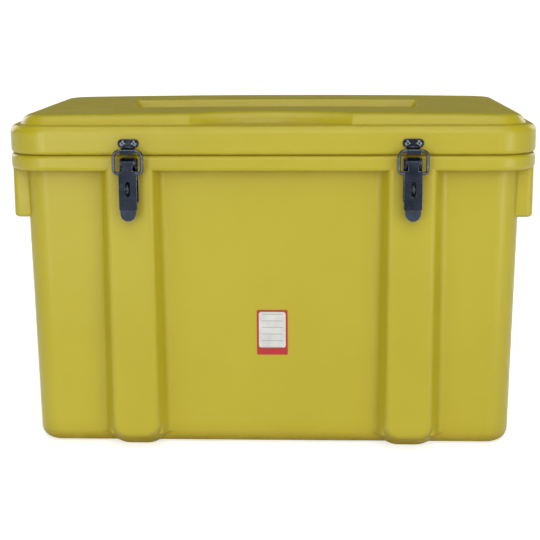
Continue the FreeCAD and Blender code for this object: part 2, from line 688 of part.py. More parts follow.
    # Arcs run anticlockwise, so each is joined by the end that meets its run.
    joints = [(0, 2, 5, 2), (5, 1, 1, 1), (1, 2, 6, 2), (6, 1, 2, 1),
              (2, 2, 7, 2), (7, 1, 3, 1), (3, 2, 8, 2), (8, 1, 4, 1)]
    for joint in joints:
        loop.addConstraint(Sketcher.Constraint("Tangent", *joint))
    for number, lie in enumerate(("Horizontal", "Vertical", "Horizontal", "Vertical", "Horizontal")):
        loop.addConstraint(Sketcher.Constraint(lie, number))
    for arc, radius in ((5, low_r), (6, top_r), (7, top_r), (8, low_r)):
        index = loop.addConstraint(Sketcher.Constraint("Radius", arc, radius.value))
        bind(loop, f"Constraints[{index}]", radius)
    pin_point(loop, 0, 1, -end, low)
    pin_point(loop, 4, 2, end, low)
    for kind, geo, size in (("DistanceX", 1, -leg), ("DistanceX", 3, leg), ("DistanceY", 2, high)):
        index = loop.addConstraint(Sketcher.Constraint(kind, geo, 1, size.value))
        bind(loop, f"Constraints[{index}]", size)
    rod = new_sketch(bail, side + "_rod", "YZ_Plane", -end)
    add_circle(rod, attach_y, attach_z, sz.wire_radius)
    pipe = bail.newObject("PartDesign::AdditivePipe", side + "_wire")
    pipe.Profile = rod
    pipe.Spine = (loop, [f"Edge{n}" for n in range(1, 10)])
    parts[side + "_latch_bail"] = bail

    # Keeper: a riveted flange, a neck that steps out and a hook that the bail drops into.
    keeper = new_body(side + "_keeper", across)
    bar_y, bar_z = attach_y, attach_z + sz.bail_reach
    seat_z = bar_z - sz.wire_radius - sz.hook_gap
    back_y = bar_y + sz.wire_radius + sz.hook_gap
    keeper_z = parting + sz.keeper_rise
    neck_z = keeper_z - sz.keeper_height / 2 + sz.keeper_thick / 2
    lip_y = bar_y - sz.hook_throat
    lip_z = bar_z + sz.hook_lip
    thick = sz.keeper_thick
    bent = new_sketch(keeper, side + "_bent", "YZ_Plane")
    add_polygon(bent, [
        (front, keeper_z), (out(thick), keeper_z), (out(thick), neck_z),
        (back_y, neck_z - sz.joggle_rise), (back_y, seat_z), (lip_y, seat_z),
        (lip_y - sz.lip_lean, lip_z), (lip_y - sz.lip_lean - thick, lip_z),
        (lip_y - thick, seat_z - thick), (back_y + thick, seat_z - thick),
        (back_y + thick, neck_z - sz.joggle_rise - thick), (front, neck_z - thick),
    ])
    add_pad(keeper, side + "_bent_pad", bent, sz.neck_width, both=True)
    tongue = new_sketch(keeper, side + "_tongue", "YZ_Plane")
    add_polygon(tongue, [
        (back_y, seat_z), (lip_y, seat_z), (lip_y - sz.lip_lean, lip_z),
        (lip_y - sz.lip_lean - thick, lip_z), (lip_y - thick, seat_z - thick),
        (back_y, seat_z - thick),
    ])
    add_pad(keeper, side + "_tongue_pad", tongue, sz.hook_width, both=True)
    flange = new_sketch(keeper, side + "_flange", "XZ_Plane", sz.rim_depth / 2)
    half_keeper, half_tall = sz.keeper_width / 2, sz.keeper_height / 2
    add_round_box(flange, -half_keeper, half_keeper, keeper_z - half_tall, keeper_z + half_tall,
                  half_tall * sz.tip_share)
    add_pad(keeper, side + "_flange_pad", flange, thick)
    holes = new_sketch(keeper, side + "_keeper_holes", "XZ_Plane", sz.rim_depth / 2)
    rivet_half = sz.keeper_rivet_spacing / 2
    spots = [(-rivet_half, keeper_z), (rivet_half, keeper_z)]
    for x, z in spots:
        add_circle(holes, x, z, hole_radius)
    add_pocket(keeper, side + "_keeper_drill", holes, sz.overrun * 2)
    parts[side + "_keeper"] = keeper
    lid_holes += rivet_set(side + "_keeper_rivets", [(across + x, z) for x, z in spots], front,
                           True, sz.keeper_thick, sz.skirt_wall)

# Two butt hinges on the back: outer knuckles on the tub's leaf, the middle one on the lid's.
for side, across in (("left", -sz.rib_place), ("right", sz.rib_place)):
    behind = lambda reach: rear + reach
    axis_y, axis_z = behind(sz.hinge_stand), parting
    pin_hole = sz.hinge_pin_radius + sz.pin_gap
    middle = sz.middle_knuckle
    for leaf_name, up, leaf_end, rivet_at, wall, holes in (
            ("base", -1, sz.base_leaf_drop, sz.base_rivet_drop, sz.wall, tub_holes),
            ("lid", 1, sz.lid_leaf_rise, sz.lid_rivet_rise, sz.skirt_wall, lid_holes)):
        name = f"{side}_{leaf_name}_leaf"
        leaf = new_body(name, across)
        web = new_sketch(leaf, name + "_web", "YZ_Plane")
        add_polygon(web, [
            (rear, axis_z + sz.leaf_clear * up),
            (behind(sz.leaf_thick), axis_z + sz.leaf_clear * up),
            (axis_y, axis_z + sz.hinge_pin_radius * up + sz.pin_gap * up),
            (axis_y, axis_z + sz.knuckle_radius * up),
            (behind(sz.leaf_thick), axis_z + sz.web_drop * up), (rear, axis_z + sz.web_drop * up),
        ])
        wide = sz.leaf_width if leaf_name == "base" else middle
        web_pad = add_pad(leaf, name + "_web_pad", web, wide, both=True)
        eye = new_sketch(leaf, name + "_eye", "YZ_Plane")
        add_circle(eye, axis_y, axis_z, sz.knuckle_radius)
        add_pad(leaf, name + "_knuckle", eye, wide, both=True)
        if leaf_name == "base":
            notch = new_sketch(leaf, name + "_notch", "YZ_Plane")
            reach = sz.knuckle_radius + sz.overrun
            add_polygon(notch, [
                (rear, axis_z - sz.web_drop), (axis_y + reach, axis_z - sz.web_drop),
                (axis_y + reach, axis_z + reach), (rear, axis_z + reach),
            ])
            add_pocket(leaf, name + "_notch_cut", notch, middle + sz.knuckle_gap * 2)
        bore = new_sketch(leaf, name + "_bore", "YZ_Plane")
        add_circle(bore, axis_y, axis_z, pin_hole)
        add_pocket(leaf, name + "_drill", bore, sz.leaf_width * 2)
        sheet_plan = new_sketch(leaf, name + "_plan", "XZ_Plane", -sz.rim_depth / 2)
        half_leaf = sz.leaf_width / 2
        first, last = axis_z + sz.web_drop * up, axis_z + leaf_end * up
        low, high = (last, first) if up < 0 else (first, last)
        add_polygon(sheet_plan, [
            (-half_leaf, low), (half_leaf, low), (half_leaf, high), (-half_leaf, high),
        ])
        rivet_half = sz.leaf_rivet_spacing / 2
        spots = [(-rivet_half, axis_z + rivet_at * up), (rivet_half, axis_z + rivet_at * up)]
        for x, z in spots:
            add_circle(sheet_plan, x, z, hole_radius)
        leaf_pad = add_pad(leaf, name + "_plate", sheet_plan, sz.leaf_thick)
        leaf_pad.Reversed = True
        far = lambda edge, box: (box.YLength > box.XLength + box.ZLength
                                 and near(box.ZMin, last.value) and near(box.ZMax, last.value))
        add_fillet(leaf, name + "_round", leaf_pad, sz.leaf_round, far)
        parts[f"{side}_hinge_{leaf_name}_leaf"] = leaf
        holes += rivet_set(f"{side}_hinge_{leaf_name}_rivets", [(across + x, z) for x, z in spots],
                           rear, False, sz.leaf_thick, wall)
    pin = new_body(side + "_hinge_pin", across)
    bind(pin, "Placement.Base.y", axis_y)
    bind(pin, "Placement.Base.z", axis_z)
    shank = new_sketch(pin, side + "_hinge_half", "XZ_Plane")
    grip_half = sz.leaf_width / 2 + sz.pin_gap
    head_end = grip_half + sz.hinge_pin_head
    add_polygon(shank, [
        (-head_end, ZERO), (head_end, ZERO), (head_end, sz.hinge_head_radius),
        (grip_half, sz.hinge_head_radius), (grip_half, sz.hinge_pin_radius),
        (-grip_half, sz.hinge_pin_radius), (-grip_half, sz.hinge_head_radius),
        (-head_end, sz.hinge_head_radius),
    ])
    turned = pin.newObject("PartDesign::Revolution", side + "_hinge_turned")
    turned.Profile = shank
    turned.ReferenceAxis = (shank, ["H_Axis"])
    parts[side + "_hinge_pin"] = pin

# The tub: everything outside joined, everything inside taken out, then the rivet holes.
tub_outside = fuse("TubOutside", [tub_skin, rim, lip, grips] + ribs + coves)
tub_inside = fuse("TubInside", [tub_room, mouth, grip_room] + channels)
tub_shell = cut("TubShell", tub_outside, tub_inside)
tub_grooved = cut("TubGrooved", tub_shell, groove)
tub_drills = doc.addObject("Part::Compound", "TubDrills")
tub_drills.Links = tub_holes
parts["tub"] = cut("Tub", tub_grooved, tub_drills)

# The lid's skirt, rounded above and below.
skirt_top = parting + sz.skirt_height
skirt = new_body("Skirt")
skirt_plan = new_sketch(skirt, "skirt_plan", "XY_Plane", parting)
middle_box(skirt_plan, sz.rim_width, sz.rim_depth, sz.rim_corner)
skirt_pad = add_pad(skirt, "skirt_pad", skirt_plan, sz.skirt_height)
skirt_crown = add_fillet(skirt, "skirt_crown", skirt_pad, sz.skirt_top_round, flat_at(skirt_top))
add_fillet(skirt, "skirt_foot", skirt_crown, sz.skirt_base_round, flat_at(parting))


# The raised middle of the lid, with sloping sides, a slight crown, a wide shallow scoop in
# the middle of its front, and a rounded upper edge that follows the scoop.
def tier(name, low, high, inset):
    step = sz.tier_inset + inset
    foot_size = (sz.rim_width - step * 2, sz.rim_depth - step * 2)
    step = step + sz.tier_slope
    head_size = (sz.rim_width - step * 2, sz.rim_depth - step * 2)
    brow = (high - sz.crown_drop * 2).value
    upper = lambda edge, box: box.ZMin > brow
    chord = sz.scoop_width / 2
    radius = (chord * chord + sz.scoop_depth * sz.scoop_depth) / (sz.scoop_depth * 2)

    def crown_and_scoop(body):
        add_crown(body, name, high, sz.crown_drop)
        scoop = body.newObject("PartDesign::SubtractiveCone", name + "_scoop")
        plane = [f for f in body.Origin.OriginFeatures if f.Role == "XY_Plane"][0]
        scoop.AttachmentSupport = [(plane, "")]
        scoop.MapMode = "FlatFace"
        spare = sz.tier_slope * sz.overrun / (high - low)
        bind(scoop, "Radius1", radius + inset - spare)
        bind(scoop, "Radius2", radius + inset + sz.tier_slope + spare)
        bind(scoop, "Height", high - low + sz.overrun * 2)
        bind(scoop, "AttachmentOffset.Base.y", front + sz.tier_inset + sz.scoop_depth - radius)
        bind(scoop, "AttachmentOffset.Base.z", low - sz.overrun)
        return scoop

    return sloped_block(name, (low, foot_size), (high, head_size), sz.tier_corner - inset,
                        upper, sz.tier_round - inset, crown_and_scoop)


tier_base = skirt_top - sz.wall
lid_top = skirt_top + sz.tier_height
tier_skin = tier("TierSkin", tier_base, lid_top, ZERO)
tier_room = tier("TierRoom", tier_base - sz.overrun, lid_top - sz.wall, sz.wall)


# The stacking recess in the top, with sloping sides.
def recess(name, grow, rise):
    body = new_body(name)
    low = new_sketch(body, name + "_low", "XY_Plane", lid_top - sz.recess_deep - grow)
    inner = (sz.recess_slope - grow) * 2
    middle_box(low, sz.recess_width - inner, sz.recess_depth - inner, sz.recess_corner)
    high = new_sketch(body, name + "_high", "XY_Plane", lid_top + rise)
    outer = grow * 2
    middle_box(high, sz.recess_width + outer, sz.recess_depth + outer, sz.recess_corner)
    add_loft(body, name + "_loft", [low, high])
    return body


lid_outside = fuse("LidOutside", [skirt, tier_skin])
recess_floor = recess("RecessUnder", sz.wall, ZERO)
tier_clear = cut("TierClear", tier_room, recess_floor)


def skirt_room(name, inset, low, tall):
    body = new_body(name)
    plan = new_sketch(body, name + "_plan", "XY_Plane", low)
    middle_box(plan, sz.rim_width - inset * 2, sz.rim_depth - inset * 2, sz.rim_corner - inset)
    add_pad(body, name + "_pad", plan, tall)
    return body


inside_skirt = skirt_room("InsideSkirt", sz.skirt_wall, parting + sz.flange_height,
                          sz.skirt_height - sz.flange_height - sz.wall)
inside_flange = skirt_room("InsideFlange", sz.flange_width, parting - sz.overrun,
                           sz.flange_height + sz.overrun * 2)
lid_inside = fuse("LidInside", [inside_skirt, inside_flange, tier_clear])
lid_shell = cut("LidShell", lid_outside, lid_inside)
lid_recessed = cut("LidRecessed", lid_shell, recess("Recess", ZERO, ZERO))
lid_drills = doc.addObject("Part::Compound", "LidDrills")
lid_drills.Links = lid_holes
parts["lid"] = cut("Lid", lid_recessed, lid_drills)

doc.recompute()
for obj in doc.Objects:
    if "Invalid" in obj.State or "Error" in obj.State:
        raise RuntimeError(f"{obj.Name} failed to build: {obj.State}")
os.makedirs("parts", exist_ok=True)
for label, piece in parts.items():
    piece.Label = label
    shape = piece.Shape
    if shape.isNull() or not shape.isValid():
        raise RuntimeError(f"{label} has no valid shape")
    print(label, len(shape.Solids), round(shape.Volume / 1000, 2))
    shape.exportStep(f"parts/{label}.step")
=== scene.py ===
import math

import bmesh
import bpy
from mathutils import Matrix, Vector


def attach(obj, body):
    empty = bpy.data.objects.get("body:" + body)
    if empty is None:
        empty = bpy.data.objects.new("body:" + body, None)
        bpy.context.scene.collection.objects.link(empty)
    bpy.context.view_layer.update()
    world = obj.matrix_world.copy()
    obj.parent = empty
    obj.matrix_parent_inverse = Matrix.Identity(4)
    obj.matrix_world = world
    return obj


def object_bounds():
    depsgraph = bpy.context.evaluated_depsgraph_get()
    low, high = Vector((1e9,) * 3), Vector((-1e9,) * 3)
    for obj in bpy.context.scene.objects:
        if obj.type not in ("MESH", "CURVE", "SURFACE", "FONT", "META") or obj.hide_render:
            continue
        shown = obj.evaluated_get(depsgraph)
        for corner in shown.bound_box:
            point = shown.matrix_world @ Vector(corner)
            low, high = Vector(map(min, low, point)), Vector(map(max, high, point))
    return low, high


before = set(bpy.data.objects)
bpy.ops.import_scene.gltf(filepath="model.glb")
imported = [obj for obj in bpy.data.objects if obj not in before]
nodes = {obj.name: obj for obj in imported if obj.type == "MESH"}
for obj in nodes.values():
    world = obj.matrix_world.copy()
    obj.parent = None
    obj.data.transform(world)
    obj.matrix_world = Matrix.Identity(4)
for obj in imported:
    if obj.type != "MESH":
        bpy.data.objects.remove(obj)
cad_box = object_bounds()


# The tub is one hollow shell of polyethylene, turned in a hot mould until the powder has melted
# against the walls. Its skin is waxy, with a faint orange peel and slow drifts of colour.
def paint(red, green, blue):
    """A colour as a screen shows it, 0 to 255, turned into the linear one that a shader takes."""
    shown = [channel / 255 for channel in (red, green, blue)]
    linear = [c / 12.92 if c <= 0.04045 else ((c + 0.055) / 1.055) ** 2.4 for c in shown]
    return (*linear, 1.0)


def place(tree, kind, inputs=None, **settings):
    """Adds a node with its settings, and gives each named input a value or a link."""
    made = tree.nodes.new(kind)
    for name, value in settings.items():
        setattr(made, name, value)
    for name, value in (inputs or {}).items():
        if isinstance(value, bpy.types.NodeSocket):
            tree.links.new(value, made.inputs[name])
        else:
            made.inputs[name].default_value = value
    return made


def start_group(name, inputs, outputs):
    """A shader node group with float inputs at their usual values, and its two ends."""
    group = bpy.data.node_groups.new(name, "ShaderNodeTree")
    for socket, value in inputs.items():
        made = group.interface.new_socket(name=socket, in_out="INPUT", socket_type="NodeSocketFloat")
        made.default_value = value
    for socket, kind in outputs.items():
        group.interface.new_socket(name=socket, in_out="OUTPUT", socket_type=kind)
    return group, place(group, "NodeGroupInput").outputs, place(group, "NodeGroupOutput").inputs


def math_node(tree, operation, first, second):
    """The result of one sum on two values or sockets."""
    return place(tree, "ShaderNodeMath", {0: first, 1: second}, operation=operation).outputs[0]


def remap(tree, value, low, high, new_low, new_high):
    """A value stretched from one span to another and held inside it."""
    spans = {"Value": value, "From Min": low, "From Max": high, "To Min": new_low, "To Max": new_high}
    return place(tree, "ShaderNodeMapRange", spans).outputs["Result"]


def noise(tree, coordinates, scale, detail):
    """Soft noise in the object's own space."""
    inputs = {"Vector": coordinates, "Scale": scale, "Detail": detail, "Roughness": 0.55}
    return place(tree, "ShaderNodeTexNoise", inputs).outputs["Fac"]


def blend_colour(tree, share, first, second):
    """One colour run into another by a mask."""
    mix = place(tree, "ShaderNodeMix", {0: share, 6: first, 7: second}, data_type="RGBA")
    return mix.outputs[2]


# Moulded skin: slow clouds of tone, patches of gloss, and the grain that the mould leaves.
skin, skin_in, skin_out = start_group(
    "moulded_skin",
    {"Cloud Scale": 5.0, "Grain Scale": 420.0},
    {"Cloud": "NodeSocketFloat", "Gloss": "NodeSocketFloat", "Grain": "NodeSocketFloat"},
)
skin_place = place(skin, "ShaderNodeTexCoord").outputs["Object"]
skin_cloud = noise(skin, skin_place, skin_in["Cloud Scale"], 3.0)
gloss_scale = math_node(skin, "MULTIPLY", skin_in["Cloud Scale"], 6.0)
skin_gloss = noise(skin, skin_place, gloss_scale, 4.0)
fine_scale = math_node(skin, "MULTIPLY", skin_in["Grain Scale"], 3.1)
coarse_grain = noise(skin, skin_place, skin_in["Grain Scale"], 1.0)
fine_grain = noise(skin, skin_place, fine_scale, 2.0)
skin.links.new(remap(skin, skin_cloud, 0.3, 0.7, 0.0, 1.0), skin_out["Cloud"])
skin.links.new(remap(skin, skin_gloss, 0.3, 0.7, 0.0, 1.0), skin_out["Gloss"])
grain_sum = math_node(skin, "ADD", coarse_grain, math_node(skin, "MULTIPLY", fine_grain, 0.4))
skin.links.new(grain_sum, skin_out["Grain"])

# Edge wear and painted highlight: where the surface turns sharply it is rubbed first, in broken
# patches, and the lighter colour laid there also stands in for the highlights that edges catch. The
# same rounding gives a crisp edge the small radius that every real one has.
wear_and_highlight, wear_and_highlight_in, wear_and_highlight_out = start_group(
    "edge_wear_and_highlight",
    {"Radius": 0.002, "Patch Scale": 60.0, "Least": 0.0},
    {"Wear And Highlight": "NodeSocketFloat", "Normal": "NodeSocketVector"},
)
rounded = place(wear_and_highlight, "ShaderNodeBevel", {"Radius": wear_and_highlight_in["Radius"]}, samples=4).outputs["Normal"]
facing = place(wear_and_highlight, "ShaderNodeNewGeometry").outputs["Normal"]
agreement = place(wear_and_highlight, "ShaderNodeVectorMath", {0: rounded, 1: facing}, operation="DOT_PRODUCT")
turned = remap(wear_and_highlight, agreement.outputs["Value"], 0.99, 0.78, 0.0, 1.0)
wear_place = place(wear_and_highlight, "ShaderNodeTexCoord").outputs["Object"]
wear_noise = noise(wear_and_highlight, wear_place, wear_and_highlight_in["Patch Scale"], 5.0)
patches = remap(wear_and_highlight, wear_noise, 0.42, 0.62, wear_and_highlight_in["Least"], 1.0)
wear_and_highlight.links.new(math_node(wear_and_highlight, "MULTIPLY", turned, patches), wear_and_highlight_out["Wear And Highlight"])
wear_and_highlight.links.new(rounded, wear_and_highlight_out["Normal"])

# Scratches: hairlines left by handling, drawn by noise that is pulled out one way.
hairline, hairline_in, hairline_out = start_group(
    "fine_scratches",
    {"Scale": 60.0, "Tilt": 0.4, "Amount": 0.5},
    {"Scratches": "NodeSocketFloat"},
)
tilt = place(hairline, "ShaderNodeCombineXYZ", {"Y": hairline_in["Tilt"], "Z": hairline_in["Tilt"]})
scratch_place = place(hairline, "ShaderNodeTexCoord").outputs["Object"]
drawn = place(
    hairline,
    "ShaderNodeMapping",
    {"Vector": scratch_place, "Rotation": tilt.outputs["Vector"], "Scale": (0.06, 1.0, 1.6)},
)
strokes = noise(hairline, drawn.outputs["Vector"], hairline_in["Scale"], 2.0)
thin_line = math_node(hairline, "ABSOLUTE", math_node(hairline, "SUBTRACT", strokes, 0.5), 0.0)
line_mask = remap(hairline, thin_line, 0.0, 0.012, 1.0, 0.0)
sparse_scale = math_node(hairline, "MULTIPLY", hairline_in["Scale"], 0.12)
sparse = remap(hairline, noise(hairline, scratch_place, sparse_scale, 2.0), 0.5, 0.7, 0.0, 1.0)
scratch_mask = math_node(hairline, "MULTIPLY", line_mask, sparse)
shown_scratches = math_node(hairline, "MULTIPLY", scratch_mask, hairline_in["Amount"])
hairline.links.new(shown_scratches, hairline_out["Scratches"])

# Painted shade: creases, holes and corners are darkened by how shut in they are, broken into patches.
# On the plastic the same mask also makes the creases rougher, as dust.
crevice_shade, crevice_shade_in, crevice_shade_out = start_group(
    "crevice_shade_and_dust", {"Reach": 0.012, "Patch Scale": 80.0}, {"Shade And Dust": "NodeSocketFloat"},
)
open_sky = place(crevice_shade, "ShaderNodeAmbientOcclusion", {"Distance": crevice_shade_in["Reach"]}, samples=4)
shut_in = remap(crevice_shade, open_sky.outputs["AO"], 0.4, 0.95, 1.0, 0.0)
shade_place = place(crevice_shade, "ShaderNodeTexCoord").outputs["Object"]
shade_noise = noise(crevice_shade, shade_place, crevice_shade_in["Patch Scale"], 4.0)
shade_patches = remap(crevice_shade, shade_noise, 0.3, 0.7, 0.7, 1.0)
crevice_shade.links.new(math_node(crevice_shade, "MULTIPLY", shut_in, shade_patches), crevice_shade_out["Shade And Dust"])


def start_material(name, roughness, specular):
    """A named material with its shader, and the values that are the same all over it."""
    material = bpy.data.materials.new(name)
    material.use_nodes = True
    shader = material.node_tree.nodes["Principled BSDF"]
    shader.inputs["Roughness"].default_value = roughness
    shader.inputs["Specular IOR Level"].default_value = specular
    return material, material.node_tree, shader.inputs


def use_group(tree, group, values):
    """An effect placed in a material, with the material's own values."""
    return place(tree, "ShaderNodeGroup", values, node_tree=group).outputs


def finish_nodes(names, material):
    """Gives CAD nodes one material."""
    for name in names:
        mesh = nodes[name].data
        mesh.materials.clear()
        mesh.materials.append(material)


wall_yellow = paint(191, 178, 38)
deep_yellow = paint(185, 171, 31)
# A pale yellow for scuffs and rubbed edges, partly real wear and partly a painted highlight along the
# edges.
worn_highlight_yellow = paint(208, 200, 112)
# A darker, saturated yellow that is painted shade in creases, the seam and the foot beside the floor.
painted_crease_shade = paint(150, 122, 5)
worn_highlight_share = 0.15
crease_shade_share = 0.7
dust_roughness = 0.95
waxy_gloss = (0.31, 0.4)

yellow_plastic, tree, shader = start_material("yellow_plastic", 0.38, 0.5)
shader["Subsurface Weight"].default_value = 0.2
shader["Subsurface Radius"].default_value = (1.0, 0.6, 0.12)
shader["Subsurface Scale"].default_value = 0.005
drift = use_group(tree, skin, {"Cloud Scale": 4.0, "Grain Scale": 380.0})
edges = use_group(tree, wear_and_highlight, {"Radius": 0.003, "Patch Scale": 45.0})
scuffs = use_group(tree, hairline, {"Scale": 38.0, "Tilt": 0.5, "Amount": 0.06})
creases = use_group(tree, crevice_shade, {"Reach": 0.04, "Patch Scale": 30.0})
body_colour = blend_colour(tree, drift["Cloud"], wall_yellow, deep_yellow)
# Edges get the pale yellow as wear and as painted highlight; scratches get it as wear.
worn_highlit_edges = math_node(tree, "MULTIPLY", edges["Wear And Highlight"], worn_highlight_share)
rubbed_and_highlit = math_node(tree, "MAXIMUM", worn_highlit_edges, scuffs["Scratches"])
worn_highlit_colour = blend_colour(tree, rubbed_and_highlit, body_colour, worn_highlight_yellow)
# Painted shade: the darker yellow is mixed in wherever the surface is shut in.
crease_shade = math_node(tree, "MULTIPLY", creases["Shade And Dust"], crease_shade_share)
tree.links.new(blend_colour(tree, crease_shade, worn_highlit_colour, painted_crease_shade), shader["Base Color"])
waxy = remap(tree, drift["Gloss"], 0.0, 1.0, *waxy_gloss)
dusty = math_node(tree, "MULTIPLY", creases["Shade And Dust"], dust_roughness)
tree.links.new(math_node(tree, "MAXIMUM", waxy, dusty), shader["Roughness"])
sag = place(
    tree,
    "ShaderNodeBump",
    {"Strength": 0.6, "Distance": 0.004, "Height": drift["Cloud"], "Normal": edges["Normal"]},
)
peel = place(
    tree,
    "ShaderNodeBump",
    {"Strength": 0.10, "Distance": 0.0006, "Height": drift["Grain"], "Normal": sag.outputs["Normal"]},
)
tree.links.new(peel.outputs["Normal"], shader["Normal"])
finish_nodes(["tub"], yellow_plastic)


# The seal is a square cord of black sponge rubber, pressed into a groove round the rim.
# Its skin is cut, so the open cells of the sponge show as a fine grain.
rubber_black = paint(34, 34, 35)
rubber_bloom = paint(58, 57, 56)
rubber_gloss = (0.75, 0.95)

seal_rubber, tree, shader = start_material("seal_rubber", 0.85, 0.25)
pores = use_group(tree, skin, {"Cloud Scale": 18.0, "Grain Scale": 900.0})
tree.links.new(blend_colour(tree, pores["Cloud"], rubber_black, rubber_bloom), shader["Base Color"])
tree.links.new(remap(tree, pores["Gloss"], 0.0, 1.0, *rubber_gloss), shader["Roughness"])
open_cells = {"Strength": 0.3, "Distance": 0.0004, "Height": pores["Grain"]}
sponge = place(tree, "ShaderNodeBump", open_cells)
tree.links.new(sponge.outputs["Normal"], shader["Normal"])
finish_nodes(["rim_seal"], seal_rubber)


# The lid is moulded as the tub is, from the same powder and in the same turning mould.
# It is hung from the tub by its two hinges, and it rests on the rim and its seal.
finish_nodes(["lid"], yellow_plastic)


# Hinge leaves, latch plates, levers and keepers are pressed from sheet steel and zinc plated. The
# plating is bluish and slightly clouded; its colour is set far darker than zinc as a painted dark
# reflection, and it is worn bright along the edges, which also stands as painted highlight.
zinc_dark_reflection = paint(48, 54, 65)
zinc_dark_reflection_cloud = paint(34, 39, 49)
zinc_worn_highlight = paint(206, 212, 222)
# A near black that is painted shade in holes and joints.
painted_hole_shade = paint(26, 26, 28)
# Share of the bright colour on turned edges, as wear and as painted highlight.
worn_edge_highlight_share = 0.7
sides = ("left", "right")
pressed = ("latch_plate", "latch_lever", "keeper", "hinge_base_leaf", "hinge_lid_leaf")


def plated_metal(name, colours, gloss, hole_shade):
    """A plated metal: clouded and scratched, with painted shade in its holes and rubbed edges that
    are bright as wear and as painted highlight.
    """
    colour, cloud, worn_highlight = colours
    polished, dull = gloss
    shade_reach, shade_share = hole_shade
    material, tree, shader = start_material(name, dull, 0.5)
    shader["Metallic"].default_value = 1.0
    drift = use_group(tree, skin, {"Cloud Scale": 55.0, "Grain Scale": 1500.0})
    edges = use_group(tree, wear_and_highlight, {"Radius": 0.001, "Patch Scale": 260.0, "Least": 0.4})
    marks = use_group(tree, hairline, {"Scale": 420.0, "Tilt": 1.2, "Amount": 0.2})
    shaded = use_group(tree, crevice_shade, {"Reach": shade_reach, "Patch Scale": 500.0})
    plating = blend_colour(tree, drift["Cloud"], colour, cloud)
    # Rubbed edges are brightened, as wear and as painted highlight.
    rubbed_and_highlit = math_node(tree, "MULTIPLY", edges["Wear And Highlight"], worn_edge_highlight_share)
    worn_and_highlit = math_node(tree, "MAXIMUM", rubbed_and_highlit, marks["Scratches"])
    worn_highlit_plating = blend_colour(tree, worn_and_highlit, plating, worn_highlight)
    # Painted shade in holes and joints.
    shut = math_node(tree, "MULTIPLY", shaded["Shade And Dust"], shade_share)
    tree.links.new(blend_colour(tree, shut, worn_highlit_plating, painted_hole_shade), shader["Base Color"])
    tree.links.new(remap(tree, drift["Gloss"], 0.0, 1.0, polished, dull), shader["Roughness"])
    grain = place(
        tree,
        "ShaderNodeBump",
        {"Strength": 0.05, "Distance": 0.0002, "Height": drift["Grain"], "Normal": edges["Normal"]},
    )
    tree.links.new(grain.outputs["Normal"], shader["Normal"])
    return material


zinc = (zinc_dark_reflection, zinc_dark_reflection_cloud, zinc_worn_highlight)
zinc_steel = plated_metal("zinc_steel", zinc, gloss=(0.18, 0.3), hole_shade=(0.0012, 0.3))
finish_nodes([f"{side}_{piece}" for side in sides for piece in pressed], zinc_steel)


# Bails are bent from drawn wire and sprung into the cheeks of the levers. The pins are turned, and
# riveted over in the ears and knuckles. Both are plated, and brighter than the sheet, though their
# colour is set darker than plated steel as a painted dark reflection.
wire_dark_reflection = paint(84, 90, 102)
wire_dark_reflection_cloud = paint(64, 70, 84)
wire_worn_highlight = paint(200, 204, 212)
turned_pieces = ("latch_bail", "latch_pin", "hinge_pin")

wire = (wire_dark_reflection, wire_dark_reflection_cloud, wire_worn_highlight)
bright_steel = plated_metal("bright_steel", wire, gloss=(0.12, 0.22), hole_shade=(0.0012, 0.3))
finish_nodes([f"{side}_{piece}" for side in sides for piece in turned_pieces], bright_steel)


# Blind rivets of aluminium hold the plates, keepers and hinge leaves. Their heads are domed,
# with the broken end of the pulling stem deep in the middle.
rivet_grey = paint(128, 132, 139)
rivet_cloud = paint(108, 113, 122)
rivet_worn_highlight = paint(214, 216, 218)
riveted = ("plate_rivets", "keeper_rivets", "hinge_base_rivets", "hinge_lid_rivets")

aluminium = (rivet_grey, rivet_cloud, rivet_worn_highlight)
# The rivets' stem holes get strong painted shade.
rivet_aluminium = plated_metal("rivet_aluminium", aluminium, gloss=(0.18, 0.3), hole_shade=(0.004, 0.95))
finish_nodes([f"{side}_{piece}" for side in sides for piece in riveted], rivet_aluminium)


# The label is a sheet of printed vinyl stuck to the front panel: a red field with a white
# window, left blank for the owner's own writing, with faint rules to write on.
label_width = 0.0477
label_height = 0.0715
label_centre = (0.0008, 0.1818)
label_thickness = 0.00018
label_corner = 0.0022
window_margin = 0.0032
window_foot = 0.0115
window_corner = 0.0038
corner_steps = 8
label_red = paint(186, 32, 40)
label_faded_red = paint(172, 36, 40)
label_white = paint(226, 226, 222)
label_grey = paint(205, 206, 204)
rule_grey = paint(168, 170, 170)
vinyl_gloss = (0.26, 0.38)


def rounded_outline(left, right, foot, head, radius):
    """The points of a rectangle with round corners, anticlockwise from the lower right."""
    centres = (
        (right - radius, foot + radius, -90),
        (right - radius, head - radius, 0),
        (left + radius, head - radius, 90),
        (left + radius, foot + radius, 180),
    )
    points = []
    for across, up, start in centres:
        for step in range(corner_steps + 1):
            angle = math.radians(start + 90 * step / corner_steps)
            points.append((across + radius * math.cos(angle), up + radius * math.sin(angle)))
    return points


def vinyl_finish(name, colour, faded):
    """Printed vinyl: a smooth film with a little fading and fine scuffs."""
    material, tree, shader = start_material(name, 0.3, 0.5)
    drift = use_group(tree, skin, {"Cloud Scale": 60.0, "Grain Scale": 1400.0})
    marks = use_group(tree, hairline, {"Scale": 300.0, "Tilt": 0.7, "Amount": 0.2})
    shade = blend_colour(tree, drift["Cloud"], colour, faded)
    shade = blend_colour(tree, marks["Scratches"], shade, label_grey)
    tree.links.new(remap(tree, drift["Gloss"], 0.0, 1.0, *vinyl_gloss), shader["Roughness"])
    film_grain = {"Strength": 0.05, "Distance": 0.0002, "Height": drift["Grain"]}
    film = place(tree, "ShaderNodeBump", film_grain)
    tree.links.new(film.outputs["Normal"], shader["Normal"])
    return material, tree, shader, shade


